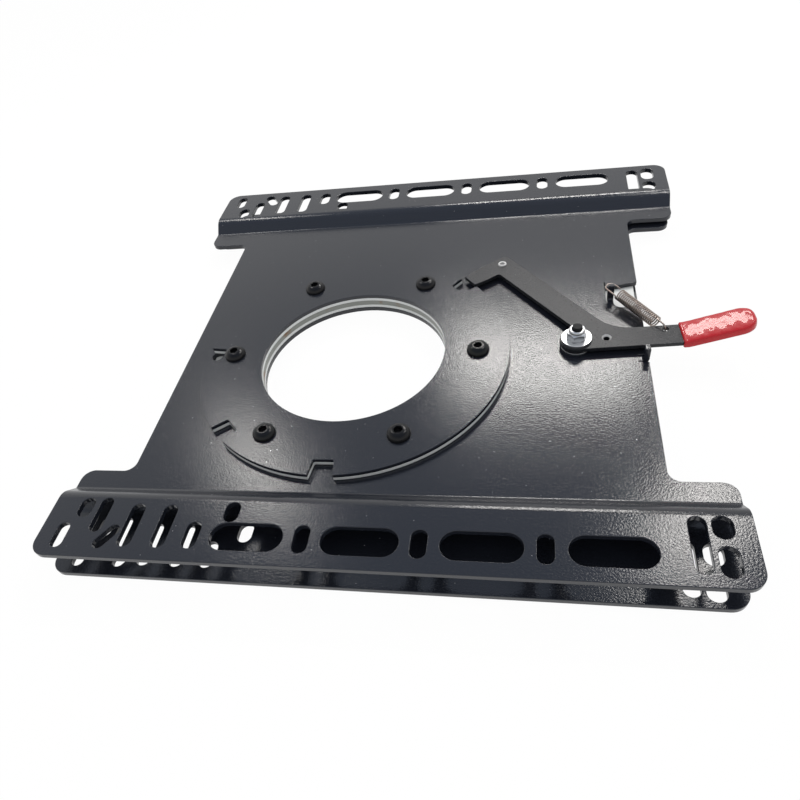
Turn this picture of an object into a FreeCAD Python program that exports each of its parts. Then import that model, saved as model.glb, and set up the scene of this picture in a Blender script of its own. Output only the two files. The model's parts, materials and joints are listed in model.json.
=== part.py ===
"""Swivel seat base: two joggled steel plates that turn on a clamped ring.

Millimetres, +Z up. The origin is the centre of the bore on the swivel axis, at
the underside of the lower plate's flat middle. +X runs along the flanges
towards the lever's handle, and -Y faces the front flange.
"""
import FreeCAD, Part
import math
import os

V = FreeCAD.Vector

# Plates: overall blank, shared by both; the lower one is shorter at each end
PLATE_LENGTH = 440.0
LOWER_INSET = 2.5
PLATE_DEPTH = 448.0
PLATE_CENTRE_X = 38.5
PLATE_CENTRE_Y = 30.5
SHEET = 4.0
EAR_REACH = 38.5
CORNER_RADIUS = 11.0
EAR_CORNER_RADIUS = 9.0
EAR_FILLET = 8.0
FLANGE_FLAT = 50.0
JOGGLE_FOOT = 60.5
FLANGE_BEND_RADIUS = 8.0
FOOT_BEND_RADIUS = 3.0
UPPER_RISE = 9.5
LOWER_DROP = 6.7

# Ears: how far each one reaches in from its flange edge, as
# front left, front right, rear right, rear left
UPPER_EARS = (77.0, 76.5, 77.5, 82.0)
LOWER_EARS = (77.0, 76.5, 82.0, 72.0)

# Ring stack, from the lower plate upwards
BORE_RADIUS = 73.0
RING_RADIUS = 122.0
SLIDE_THICKNESS = 2.5
BEARING_RADIUS = 105.0
BEARING_CLEARANCE = 0.3
PLATE_PLAY = 0.2
LOCK_THICKNESS = 3.0

# Ring bolts
BOLT_CIRCLE_RADIUS = 98.25
BOLT_COUNT = 6
BOLT_DIA = 10.0
BOLT_HOLE_GAP = 0.25
BOLT_HEAD_DIA = 17.0
BOLT_HEAD_HEIGHT = 5.0
BOLT_SOCKET_FLATS = 6.0
BOLT_SOCKET_DEPTH = 3.2
BOLT_RUNOUT = 0.3
RING_NUT_FLATS = 17.0
RING_NUT_HEIGHT = 5.0

# Notches of the locking ring
NOTCH_ANGLES = (45.0, 180.0, 225.0, 270.0)
NOTCH_MOUTH = 18.1
NOTCH_FLOOR = 14.6
NOTCH_DEPTH = 13.6
NOTCH_CORNER = 1.2
NOTCH_LIP = 1.0

# Flange slots as (distance from one end of the plate, distance from the flange
# edge, length, width), all running across the flange; the lower plate has no long ones
LEFT_SLOTS = (
    (16.5, 15.8, 19.0, 8.5),
    (25.5, 37.7, 15.4, 10.5),
    (39.5, 32.5, 27.0, 9.0),
    (64.7, 25.5, 33.0, 10.0),
    (88.3, 25.5, 32.5, 10.0),
    (131.5, 37.7, 15.0, 10.0),
)
RIGHT_SLOTS = (
    (30.0, 26.3, 36.5, 9.8),
    (16.7, 37.7, 15.0, 11.3),
    (16.5, 15.8, 19.4, 11.0),
)
LOWER_LEFT_SLOTS = (
    (16.8, 15.3, 19.0, 8.5),
    (25.8, 37.2, 15.4, 10.5),
    (39.8, 32.0, 27.0, 9.0),
    (65.0, 25.0, 33.0, 10.0),
    (88.6, 25.0, 32.5, 10.0),
    (109.9, 19.0, 19.7, 9.8),
    (130.6, 36.8, 15.0, 10.0),
)
LOWER_RIGHT_SLOTS = (
    (29.7, 24.4, 36.5, 9.8),
    (14.8, 34.0, 15.0, 11.3),
    (16.9, 13.6, 19.4, 11.0),
)
DIAGONAL_SLOT = (50.5, 15.8, 20.0, 8.5)
DIAGONAL_ANGLE = 57.0
ROW_DISTANCE = 19.5
ROW_MARGIN = 149.0
ROW_COUNT = 4
SMALL_SLOT_START = 109.6
SMALL_SLOT_LENGTH = 19.7
SMALL_SLOT_WIDTH = 9.8
BIG_SLOT_START = 146.2
BIG_SLOT_LENGTH = 48.4
BIG_SLOT_WIDTH = 20.0

# Small round hole seen through the left notch
SIGHT_HOLE_RADIUS = 4.5
SIGHT_HOLE_INSET = 4.0
SIGHT_HOLE_ANGLE = 177.5

# Lever and its pivot, the plan angles being those of the engaged lever
PIVOT_FROM_EDGE = 50.0
PIVOT_Y = 9.5
LEVER_THICKNESS = 3.0
TOOTH_ANGLE = 45.0
TOOTH_FLOOR_GAP = 2.4
TOOTH_SIDE_GAP = 0.25
TOOTH_SHOULDER_GAP = 12.4
LEVER_ARM_WIDTH = 20.0
LEVER_LOBE_RADIUS = 12.0
HANDLE_ANGLE = 10.0
HANDLE_WIDTH = 20.4
HANDLE_OFFSET = -1.0
HANDLE_BEND_AT = 76.0
HANDLE_REACH = 121.0
HANDLE_LIFT_ANGLE = 14.5
HANDLE_BEND_RADIUS = 8.0
ELBOW_RADIUS = 30.0
TOOTH_CLEARANCE = 0.6
STUD_DIA = 8.0
STUD_GAP = 0.1
STUD_FLANGE_DIA = 12.0
STUD_FLANGE_HEIGHT = 1.5
STUD_RUNOUT = 2.2
THIN_WASHER_DIA = 22.0
THIN_WASHER_HEIGHT = 0.8
SPACER_DIA = 22.0
LEVER_PLAY = 0.1
TOP_WASHER_DIA = 22.0
TOP_WASHER_HEIGHT = 2.0
LOCK_NUT_FLATS = 13.0
LOCK_NUT_HEX_HEIGHT = 5.6
LOCK_NUT_HEIGHT = 8.0
LOCK_NUT_COLLAR_DIA = 11.8
RIVET_HEAD_DIA = 7.2
RIVET_HEAD_HEIGHT = 1.1
RIVET_SHANK_DIA = 4.0
RIVET_FOOT_DIA = 9.0
RIVET_FOOT_GAP = 0.2
SPARE_HOLE_X = 21.6
SPARE_HOLE_Y = -0.2
SPARE_HOLE_DIA = 4.4
SPARE_HOLE_CHAMFER = 1.2
SPRING_HOLE_X = 63.7
SPRING_HOLE_Y = 4.9
SPRING_HOLE_DIA = 4.4

# Dipped grip
GRIP_SKIN = 1.6
GRIP_START = 74.0
GRIP_END_RADIUS = 9.5

# Spring finger, its window and the stop tab, bent up from the upper plate
FINGER_FROM_EDGE = 24.3
FINGER_WIDTH = 4.8
FINGER_FACE_Y = 63.0
FINGER_HEIGHT = 12.5
TAB_INNER_RADIUS = 1.5
SLIT = 0.8
WINDOW_REAR_Y = 79.0
WINDOW_FRONT_Y = 51.5
WINDOW_SLANT = 13.5
WINDOW_CORNER = 6.0
WINDOW_SLIT_REACH = 7.0
STOP_FRONT_Y = -9.0
STOP_WIDTH = 6.0
STOP_HEIGHT = 10.5
STOP_SLIT_REACH = 7.0

# Return spring
SPRING_DIA = 9.0
WIRE_DIA = 1.3
SPRING_TURNS = 15
STEPS_PER_TURN = 10
HOOK_STEPS = 12
SPRING_FINGER_HEIGHT = 9.3
FINGER_HOOK_REACH = 12.4
LEVER_HOOK_REACH = 9.8
LEVER_HOOK_PAST = 0.45
SPRING_LEVER_RISE = 1.5

# Glide pads on the lower plate
PAD_LENGTH = 44.0
PAD_WIDTH = 23.0
PAD_EDGE = 2.4
PAD_CORNER = 4.0
PAD_FROM_MIDDLE = 38.0

# Levels that follow from the sizes above
LOWER_TOP = SHEET
PLATE_UNDER = LOWER_TOP + SLIDE_THICKNESS
PLATE_TOP = PLATE_UNDER + SHEET
BEARING_TOP = PLATE_TOP + PLATE_PLAY
LOCK_UNDER = BEARING_TOP + SLIDE_THICKNESS
LOCK_TOP = LOCK_UNDER + LOCK_THICKNESS
LEVER_TOP = LOCK_UNDER + LEVER_THICKNESS
WASHER_UNDER = LEVER_TOP + LEVER_PLAY
NUT_UNDER = WASHER_UNDER + TOP_WASHER_HEIGHT
NUT_TOP = NUT_UNDER + LOCK_NUT_HEIGHT
FRONT_EDGE = PLATE_CENTRE_Y - PLATE_DEPTH / 2
REAR_EDGE = PLATE_CENTRE_Y + PLATE_DEPTH / 2
LEFT_END = PLATE_CENTRE_X - PLATE_LENGTH / 2
RIGHT_END = PLATE_CENTRE_X + PLATE_LENGTH / 2
LEFT_WAIST = LEFT_END + EAR_REACH
RIGHT_WAIST = RIGHT_END - EAR_REACH
ROW_PITCH = (PLATE_LENGTH - ROW_MARGIN) / ROW_COUNT
PIVOT_X = RIGHT_WAIST - PIVOT_FROM_EDGE
FINGER_X = RIGHT_WAIST - FINGER_FROM_EDGE
TOOTH_SHOULDER = RING_RADIUS + TOOTH_SHOULDER_GAP
TOOTH_END = RING_RADIUS - NOTCH_DEPTH + TOOTH_FLOOR_GAP
PIVOT = V(PIVOT_X, PIVOT_Y, 0)


def turned(x, y, degrees):
    """A plan point turned about the Z axis."""
    a = math.radians(degrees)
    return x * math.cos(a) - y * math.sin(a), x * math.sin(a) + y * math.cos(a)


def rounded_wire(corners):
    """Closed plan wire through (x, y, radius) corners, each rounded by its radius."""
    count = len(corners)
    edges = []
    starts, ends, mids = [], [], []
    for i, (x, y, r) in enumerate(corners):
        p = V(x, y, 0)
        before = V(corners[i - 1][0], corners[i - 1][1], 0) - p
        after = V(corners[(i + 1) % count][0], corners[(i + 1) % count][1], 0) - p
        before.normalize()
        after.normalize()
        if r <= 0:
            starts.append(p)
            ends.append(p)
            mids.append(None)
            continue
        half = before.getAngle(after) / 2
        run = r / math.tan(half)
        middle = before + after
        middle.normalize()
        starts.append(p + before * run)
        ends.append(p + after * run)
        mids.append(p + middle * (r / math.sin(half) - r))
    for i in range(count):
        if mids[i] is not None:
            edges.append(Part.Arc(starts[i], mids[i], ends[i]).toShape())
        following = starts[(i + 1) % count]
        if ends[i].distanceToPoint(following) > 1e-6:
            edges.append(Part.makeLine(ends[i], following))
    return Part.Wire(edges)


def plate_from(corners, low, high):
    """Flat plate with a rounded plan outline, between two levels."""
    wire = rounded_wire(corners)
    wire.translate(V(0, 0, low))
    return Part.Face(wire).extrude(V(0, 0, high - low))


def slot_body(x, y, length, width, angle, low, high):
    """Upright prism with an obround plan, its length along angle from +X."""
    half = (length - width) / 2
    r = width / 2
    a, b = V(-half, r, 0), V(half, r, 0)
    c, d = V(half, -r, 0), V(-half, -r, 0)
    edges = [Part.makeLine(a, b), Part.Arc(b, V(half + r, 0, 0), c).toShape(),
             Part.makeLine(c, d), Part.Arc(d, V(-half - r, 0, 0), a).toShape()]
    body = Part.Face(Part.Wire(edges)).extrude(V(0, 0, high - low))
    body.rotate(V(0, 0, 0), V(0, 0, 1), angle)
    body.translate(V(x, y, low))
    return body


def post(x, y, radius, low, high):
    """Upright round bar between two levels."""
    return Part.makeCylinder(radius, high - low, V(x, y, low))


def hex_body(x, y, flats, low, high):
    """Upright hexagonal prism, one corner along +X."""
    r = flats / math.sqrt(3)
    points = [V(x + r * math.cos(math.radians(60 * k)),
                y + r * math.sin(math.radians(60 * k)), low) for k in range(6)]
    return Part.Face(Part.makePolygon(points + points[:1])).extrude(V(0, 0, high - low))


def joggled_sheet(centre_low, rise, inset):
    """Sheet of constant thickness whose two flanges sit above or below its middle."""
    steep = math.atan2(abs(rise), JOGGLE_FOOT - FLANGE_FLAT)
    shift = SHEET * math.tan(steep / 2) * (1 if rise > 0 else -1)
    top = centre_low + SHEET
    above, below = (SHEET, 0) if rise > 0 else (0, SHEET)
    up = (FLANGE_BEND_RADIUS + above, FOOT_BEND_RADIUS + below)
    down = (FLANGE_BEND_RADIUS + below, FOOT_BEND_RADIUS + above)
    near, far = FRONT_EDGE, REAR_EDGE
    upper = [(near, top + rise, 0), (near + FLANGE_FLAT, top + rise, up[0]),
             (near + JOGGLE_FOOT, top, up[1]), (far - JOGGLE_FOOT, top, up[1]),
             (far - FLANGE_FLAT, top + rise, up[0]), (far, top + rise, 0)]
    low = top - SHEET
    under = [(far, low + rise, 0), (far - FLANGE_FLAT + shift, low + rise, down[0]),
             (far - JOGGLE_FOOT + shift, low, down[1]),
             (near + JOGGLE_FOOT - shift, low, down[1]),
             (near + FLANGE_FLAT - shift, low + rise, down[0]), (near, low + rise, 0)]
    wire = rounded_wire(upper + under)
    face = Part.Face(wire)
    spin = FreeCAD.Placement(V(LEFT_END + inset, 0, 0),
                             FreeCAD.Rotation(V(0, 1, 0), V(0, 0, 1), V(1, 0, 0), "XYZ"))
    face.Placement = spin
    return face.extrude(V(PLATE_LENGTH - 2 * inset, 0, 0))


def plate_outline(ears, inset):
    """Rounded plan outline with four ears that run past the waist."""
    x0, x1 = LEFT_END + inset, RIGHT_END - inset
    w0, w1 = LEFT_WAIST, RIGHT_WAIST
    y0, y1 = FRONT_EDGE, REAR_EDGE
    front_left, front_right, rear_right, rear_left = ears
    corner, ear, fillet = CORNER_RADIUS, EAR_CORNER_RADIUS, EAR_FILLET
    return [(x0, y0, corner), (x1, y0, corner),
            (x1, y0 + front_right, ear), (w1, y0 + front_right, fillet),
            (w1, y1 - rear_right, fillet), (x1, y1 - rear_right, ear),
            (x1, y1, corner), (x0, y1, corner),
            (x0, y1 - rear_left, ear), (w0, y1 - rear_left, fillet),
            (w0, y0 + front_left, fillet), (x0, y0 + front_left, ear)]


def across_flange(side, distance):
    """Level in Y at a distance inwards from the front (-1) or rear (1) edge."""
    return PLATE_CENTRE_Y + side * (PLATE_DEPTH / 2 - distance)


def end_slots(inset, left, right, low, high):
    """Slots near both ends of both flanges, the rear ones mirroring the front ones."""
    bodies = []
    groups = ((LEFT_END + inset, 1, left), (RIGHT_END - inset, -1, right))
    for side in (-1, 1):
        for end, sign, slots in groups:
            for place, distance, length, width in slots:
                bodies.append(slot_body(end + sign * place, across_flange(side, distance),
                                        length, width, 90, low, high))
        place, distance, length, width = DIAGONAL_SLOT
        bodies.append(slot_body(LEFT_END + inset + place, across_flange(side, distance),
                                length, width, -side * DIAGONAL_ANGLE, low, high))
    return bodies


def row_slots(low, high):
    """Row of small slots with a long one beside each, along both flanges."""
    bodies = []
    for side in (-1, 1):
        y = across_flange(side, ROW_DISTANCE)
        for k in range(ROW_COUNT):
            step = LEFT_END + k * ROW_PITCH
            bodies.append(slot_body(step + SMALL_SLOT_START, y, SMALL_SLOT_LENGTH,
                                    SMALL_SLOT_WIDTH, 90, low, high))
            bodies.append(slot_body(step + BIG_SLOT_START, y, BIG_SLOT_LENGTH,
                                    BIG_SLOT_WIDTH, 0, low, high))
    return bodies


def bolt_places():
    """Plan positions of the ring bolts."""
    return [turned(BOLT_CIRCLE_RADIUS, 0, k * 360 / BOLT_COUNT)
            for k in range(BOLT_COUNT)]


def bolt_holes(low, high):
    """Clearance holes for the ring bolts."""
    radius = BOLT_DIA / 2 + BOLT_HOLE_GAP
    return [post(x, y, radius, low, high) for x, y in bolt_places()]


def ring(outer, low, high):
    """Flat ring round the bore with the bolt holes through it."""
    body = post(0, 0, outer, low, high)
    cuts = [post(0, 0, BORE_RADIUS, low - 1, high + 1)]
    return body.cut(cuts + bolt_holes(low - 1, high + 1))


def notch_cutter(angle, low, high):
    """Tapered notch, open at the rim, with rounded floor corners and mouth lips."""
    floor = RING_RADIUS - NOTCH_DEPTH
    slope = (NOTCH_MOUTH - NOTCH_FLOOR) / 2 / NOTCH_DEPTH
    beyond = RING_RADIUS + 6
    mouth = NOTCH_MOUTH / 2
    flare = mouth + NOTCH_LIP + 5
    edge = math.sqrt(RING_RADIUS ** 2 - mouth ** 2)
    points = [(floor, -NOTCH_FLOOR / 2, NOTCH_CORNER),
              (edge, -NOTCH_FLOOR / 2 - slope * (edge - floor), NOTCH_LIP),
              (beyond, -flare, 0), (beyond, flare, 0),
              (edge, NOTCH_FLOOR / 2 + slope * (edge - floor), NOTCH_LIP),
              (floor, NOTCH_FLOOR / 2, NOTCH_CORNER)]
    body = plate_from(points, low, high)
    body.rotate(V(0, 0, 0), V(0, 0, 1), angle)
    return body


def notched_ring(low, high):
    """Ring with the locking notches cut into its rim."""
    notches = [notch_cutter(angle, low - 1, high + 1) for angle in NOTCH_ANGLES]
    return ring(RING_RADIUS, low, high).cut(notches)


def lower_plate():
    """Fixed plate, its flanges stepping down to the seat box."""
    body = joggled_sheet(0, -LOWER_DROP, LOWER_INSET)
    body = body.common(plate_from(plate_outline(LOWER_EARS, LOWER_INSET), -50, 50))
    cuts = end_slots(LOWER_INSET, LOWER_LEFT_SLOTS, LOWER_RIGHT_SLOTS,
                     -LOWER_DROP - 2, LOWER_TOP + 2)
    cuts += bolt_holes(-2, LOWER_TOP + 2)
    cuts.append(post(0, 0, BORE_RADIUS, -2, LOWER_TOP + 2))
    return body.cut(cuts)


def bent_tab(width, height, bend):
    """Tab along +X from a root at x = 0 that turns up; its inner face is at x = 0."""
    outer = bend + SHEET
    points = [(-bend - 1, 0, 0), (SHEET, 0, outer), (SHEET, SHEET + height, 1.0),
              (0, SHEET + height, 1.0), (0, SHEET, bend), (-bend - 1, SHEET, 0)]
    face = Part.Face(rounded_wire(points))
    face.Placement = FreeCAD.Placement(V(0, 0, 0), FreeCAD.Rotation(V(1, 0, 0), 90))
    return face.extrude(V(0, -width, 0))


def window_cutter(low, high):
    """Opening in the right edge, next to the spring finger."""
    lean = math.tan(math.radians(WINDOW_SLANT))
    left = FINGER_X - SLIT
    right = FINGER_X + FINGER_WIDTH
    beyond = RIGHT_WAIST + 5
    rear = WINDOW_REAR_Y
    slit_top = rear + WINDOW_SLIT_REACH
    root = FINGER_FACE_Y - TAB_INNER_RADIUS - 1
    points = [(left, root - 2, 0), (FINGER_X, root - 2, 0), (FINGER_X, root, 0),
              (right, root, 0), (right, WINDOW_FRONT_Y, WINDOW_CORNER),
              (beyond, WINDOW_FRONT_Y + (beyond - right) * lean, 0),
              (beyond, rear + (beyond - left) * lean, 0),
              (left + SLIT, rear, 0), (left + SLIT, slit_top, 0), (left, slit_top, 0)]
    return plate_from(points, low, high)


def spring_finger():
    """Finger bent up beside the window to hold the return spring."""
    body = bent_tab(FINGER_WIDTH, FINGER_HEIGHT, TAB_INNER_RADIUS)
    body.rotate(V(0, 0, 0), V(0, 0, 1), 90)
    body.translate(V(FINGER_X, FINGER_FACE_Y, PLATE_UNDER))
    return body


def stop_tab():
    """Tab bent up flush with the right edge, where the lever's stroke ends."""
    body = bent_tab(STOP_WIDTH, STOP_HEIGHT, TAB_INNER_RADIUS)
    body.translate(V(RIGHT_WAIST - SHEET, STOP_FRONT_Y + STOP_WIDTH, PLATE_UNDER))
    return body


def stop_slits(low, high):
    """Edge cuts either side of the stop tab, and the material the tab came from."""
    reach = STOP_SLIT_REACH
    bodies = []
    for y in (STOP_FRONT_Y - SLIT, STOP_FRONT_Y + STOP_WIDTH):
        bodies.append(Part.makeBox(reach + 1, SLIT, high - low,
                                   V(RIGHT_WAIST - reach, y, low)))
    root = RIGHT_WAIST - SHEET - TAB_INNER_RADIUS - 1
    bodies.append(Part.makeBox(RIGHT_WAIST + 1 - root, STOP_WIDTH, high - low,
                               V(root, STOP_FRONT_Y, low)))
    return bodies


def upper_plate():
    """Turning plate, its flanges stepping up to the seat, with both bent tabs."""
    body = joggled_sheet(PLATE_UNDER, UPPER_RISE, 0)
    body = body.common(plate_from(plate_outline(UPPER_EARS, 0), -50, 50))
    low, high = PLATE_UNDER - 2, PLATE_TOP + UPPER_RISE + 2
    cuts = end_slots(0, LEFT_SLOTS, RIGHT_SLOTS, low, high) + row_slots(low, high)
    cuts.append(post(0, 0, BEARING_RADIUS + BEARING_CLEARANCE, low, high))
    x, y = turned(RING_RADIUS - SIGHT_HOLE_INSET, 0, SIGHT_HOLE_ANGLE)
    cuts.append(post(x, y, SIGHT_HOLE_RADIUS, low, high))
    cuts.append(window_cutter(low, PLATE_TOP + 2))
    cuts += stop_slits(low, PLATE_TOP + 2)
    cuts.append(post(PIVOT_X, PIVOT_Y, STUD_DIA / 2 + STUD_GAP / 2, low, high))
    cuts.append(post(PIVOT_X, PIVOT_Y, STUD_FLANGE_DIA / 2 + STUD_GAP / 2,
                     low, PLATE_UNDER + STUD_FLANGE_HEIGHT))
    return body.cut(cuts).fuse([spring_finger(), stop_tab()]).removeSplitter()


def ring_bolt(x, y):
    """Domed head with a hexagonal socket, and a shank down to the thin nut."""
    r = BOLT_HEAD_DIA / 2
    h = BOLT_HEAD_HEIGHT
    lip = 0.8
    top = r * 0.48
    profile = [Part.makeLine(V(0, 0, 0), V(r, 0, 0)),
               Part.makeLine(V(r, 0, 0), V(r, 0, lip)),
               Part.Arc(V(r, 0, lip), V(r * 0.83, 0, h * 0.72), V(top, 0, h)).toShape(),
               Part.makeLine(V(top, 0, h), V(0, 0, h)),
               Part.makeLine(V(0, 0, h), V(0, 0, 0))]
    head = Part.Face(Part.Wire(profile)).revolve(V(0, 0, 0), V(0, 0, 1), 360)
    head.translate(V(x, y, LOCK_TOP))
    head = head.cut(hex_body(x, y, BOLT_SOCKET_FLATS, LOCK_TOP + h - BOLT_SOCKET_DEPTH,
                             LOCK_TOP + h + 1))
    shank = post(x, y, BOLT_DIA / 2, -RING_NUT_HEIGHT - BOLT_RUNOUT, LOCK_TOP)
    return head.fuse(shank).removeSplitter()


def chamfered_nut(x, y, flats, bore, low, high):
    """Hexagonal nut with its corners turned off at both faces."""
    corner = flats / math.sqrt(3)
    turn = corner - flats / 2 + 0.1
    cone_low = Part.makeCone(corner - turn, corner, turn * 0.58, V(x, y, low))
    middle = post(x, y, corner, low + turn * 0.58, high - turn * 0.58)
    cone_high = Part.makeCone(corner, corner - turn, turn * 0.58,
                              V(x, y, high - turn * 0.58))
    rounded = cone_low.fuse([middle, cone_high])
    body = hex_body(x, y, flats, low, high).common(rounded)
    return body.cut(post(x, y, bore, low - 1, high + 1)).removeSplitter()


def lever_rest_turn():
    """Degrees by which the engaged lever turns until its tooth clears the rim."""
    reach = RING_RADIUS + TOOTH_CLEARANCE
    turns = []
    for side in (-1, 1):
        x, y = turned(TOOTH_END, side * tooth_half_width(TOOTH_END), TOOTH_ANGLE)
        arm = V(x, y, 0) - PIVOT
        base = PIVOT.Length
        cosine = (reach ** 2 - base ** 2 - arm.Length ** 2) / (2 * base * arm.Length)
        wanted = math.degrees(math.acos(cosine))
        present = math.degrees(PIVOT.getAngle(arm))
        turns.append(present - wanted)
    return max(turns)


def tooth_half_width(distance):
    """Half width of the tooth at a distance from the swivel axis."""
    floor = RING_RADIUS - NOTCH_DEPTH
    slope = (NOTCH_MOUTH - NOTCH_FLOOR) / 2 / NOTCH_DEPTH
    taper = min(distance, RING_RADIUS) - floor
    return NOTCH_FLOOR / 2 + slope * taper - TOOTH_SIDE_GAP


def along_handle(u, v):
    """Plan point at u along and v across the handle, measured from the pivot."""
    x, y = turned(u, v, HANDLE_ANGLE)
    return PIVOT_X + x, PIVOT_Y + y


def toothed_arm(low, high):
    """Arm that crosses the ring's radius at the tooth and reaches the pivot."""
    near = TOOTH_SHOULDER
    far = near + LEVER_ARM_WIDTH
    end = tooth_half_width(RING_RADIUS)
    tip = tooth_half_width(TOOTH_END)
    pivot_x, pivot_y = turned(PIVOT_X, PIVOT_Y, -TOOTH_ANGLE)
    centre = HANDLE_OFFSET
    handle = math.radians(HANDLE_ANGLE - TOOTH_ANGLE)
    across = centre + HANDLE_WIDTH / 2
    corner_y = pivot_y + (far - pivot_x + across * math.sin(handle)) * math.tan(handle)
    corner_y += across * math.cos(handle)
    reach = HANDLE_BEND_AT - 10
    far_x = pivot_x + reach * math.cos(handle) - across * math.sin(handle)
    far_y = pivot_y + reach * math.sin(handle) + across * math.cos(handle)
    under = centre - HANDLE_WIDTH / 2
    low_x = pivot_x + reach * math.cos(handle) - under * math.sin(handle)
    low_y = pivot_y + reach * math.sin(handle) + under * math.cos(handle)
    back_x = pivot_x - under * math.sin(handle)
    back_y = pivot_y + under * math.cos(handle)
    points = [(TOOTH_END, -tip, 0.8), (RING_RADIUS, -end, 0), (near, -end, 3.0),
              (near, pivot_y + LEVER_LOBE_RADIUS * 0.7, 0),
              (back_x, back_y, 0), (low_x, low_y, 0),
              (far_x, far_y, 0), (far, corner_y, ELBOW_RADIUS),
              (far, end, 4.0), (RING_RADIUS, end, 0), (TOOTH_END, tip, 0.8)]
    body = plate_from(points, low, high)
    body.rotate(V(0, 0, 0), V(0, 0, 1), TOOTH_ANGLE)
    return body


def handle_bar(start, grow):
    """Flat bar along the handle that turns up at its bend, grown on every side."""
    lift = math.radians(HANDLE_LIFT_ANGLE)
    slope = HANDLE_REACH - HANDLE_BEND_AT + grow
    low, high = LOCK_UNDER - grow, LEVER_TOP + grow
    lean = (high - low) * math.tan(lift / 2)
    inner = HANDLE_BEND_RADIUS - grow
    outer = HANDLE_BEND_RADIUS + LEVER_THICKNESS + grow
    bend_high = HANDLE_BEND_AT - grow * math.tan(lift / 2)
    bend_low = bend_high + lean
    end = (bend_high + slope * math.cos(lift), high + slope * math.sin(lift))
    under = (end[0] + (high - low) * math.sin(lift), end[1] - (high - low) * math.cos(lift))
    points = [(start, low, 0), (bend_low, low, outer), (under[0], under[1], 0),
              (end[0], end[1], 0), (bend_high, high, inner), (start, high, 0)]
    face = Part.Face(rounded_wire(points))
    face.Placement = FreeCAD.Placement(V(0, 0, 0), FreeCAD.Rotation(V(1, 0, 0), 90))
    half = HANDLE_WIDTH / 2 + grow
    body = face.extrude(V(0, -2 * half, 0))
    body.translate(V(0, half + HANDLE_OFFSET, 0))
    radius = GRIP_END_RADIUS + grow
    reach = end[0] + (high - low) * math.sin(lift) * 0.5
    plan = [(start, HANDLE_OFFSET - half, 0), (reach, HANDLE_OFFSET - half, radius),
            (reach, HANDLE_OFFSET + half, radius), (start, HANDLE_OFFSET + half, 0)]
    body = body.common(plate_from(plan, low - 5, low + 60))
    body.rotate(V(0, 0, 0), V(0, 0, 1), HANDLE_ANGLE)
    body.translate(PIVOT)
    return body


def rivet_place():
    """Plan point of the latch rivet on the engaged lever."""
    return turned(TOOTH_SHOULDER + LEVER_ARM_WIDTH / 2, 0, TOOTH_ANGLE)


def to_rest(body):
    """Turn a piece of the engaged lever to the rest pose."""
    body.rotate(PIVOT, V(0, 0, 1), -lever_rest_turn())
    return body


def lever():
    """One flat-cut plate: tooth, arm, pivot lobe and the bar inside the grip."""
    low, high = LOCK_UNDER, LEVER_TOP
    body = toothed_arm(low, high)
    body = body.fuse([post(PIVOT_X, PIVOT_Y, LEVER_LOBE_RADIUS, low, high),
                      handle_bar(HANDLE_BEND_AT - 22, 0)]).removeSplitter()
    x, y = rivet_place()
    cuts = [post(PIVOT_X, PIVOT_Y, STUD_DIA / 2 + STUD_GAP, low - 1, high + 1),
            post(x, y, RIVET_SHANK_DIA / 2, low - 1, high + 1)]
    x, y = along_handle(SPRING_HOLE_X, SPRING_HOLE_Y)
    cuts.append(post(x, y, SPRING_HOLE_DIA / 2, low - 1, high + 1))
    x, y = along_handle(SPARE_HOLE_X, SPARE_HOLE_Y)
    r, c = SPARE_HOLE_DIA / 2, SPARE_HOLE_CHAMFER
    cuts.append(post(x, y, r, low - 1, high + 1))
    cuts.append(Part.makeCone(r, r + c, c, V(x, y, high - c)))
    return to_rest(body.cut(cuts))


def lever_grip():
    """Dipped sleeve over the end of the handle."""
    sleeve = handle_bar(GRIP_START, GRIP_SKIN).cut(handle_bar(GRIP_START - 5, 0))
    return to_rest(sleeve)


def latch_rivet():
    """Rivet behind the tooth; its foot glides on the turning plate."""
    x, y = rivet_place()
    head = post(x, y, RIVET_HEAD_DIA / 2, LEVER_TOP, LEVER_TOP + RIVET_HEAD_HEIGHT)
    rim = [e for e in head.Edges if e.BoundBox.ZMin > LEVER_TOP + RIVET_HEAD_HEIGHT - 0.01]
    head = head.makeFillet(RIVET_HEAD_HEIGHT * 0.6, rim)
    shank = post(x, y, RIVET_SHANK_DIA / 2, LOCK_UNDER, LEVER_TOP)
    foot = post(x, y, RIVET_FOOT_DIA / 2, PLATE_TOP + RIVET_FOOT_GAP, LOCK_UNDER)
    return to_rest(head.fuse([shank, foot]).removeSplitter())


def pivot_stud():
    """Stud pressed flush into the turning plate from below."""
    r = STUD_DIA / 2
    top = NUT_TOP + STUD_RUNOUT
    shank = post(PIVOT_X, PIVOT_Y, r, PLATE_UNDER + 0.1, top)
    tip = [e for e in shank.Edges if e.BoundBox.ZMin > top - 0.01]
    shank = shank.makeChamfer(0.9, tip)
    foot = post(PIVOT_X, PIVOT_Y, STUD_FLANGE_DIA / 2, PLATE_UNDER + 0.1,
                PLATE_UNDER + STUD_FLANGE_HEIGHT)
    return shank.fuse(foot).removeSplitter()


def washer(outer_dia, low, high):
    """Flat washer on the pivot stud."""
    body = post(PIVOT_X, PIVOT_Y, outer_dia / 2, low, high)
    return body.cut(post(PIVOT_X, PIVOT_Y, STUD_DIA / 2 + STUD_GAP, low - 1, high + 1))


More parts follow.
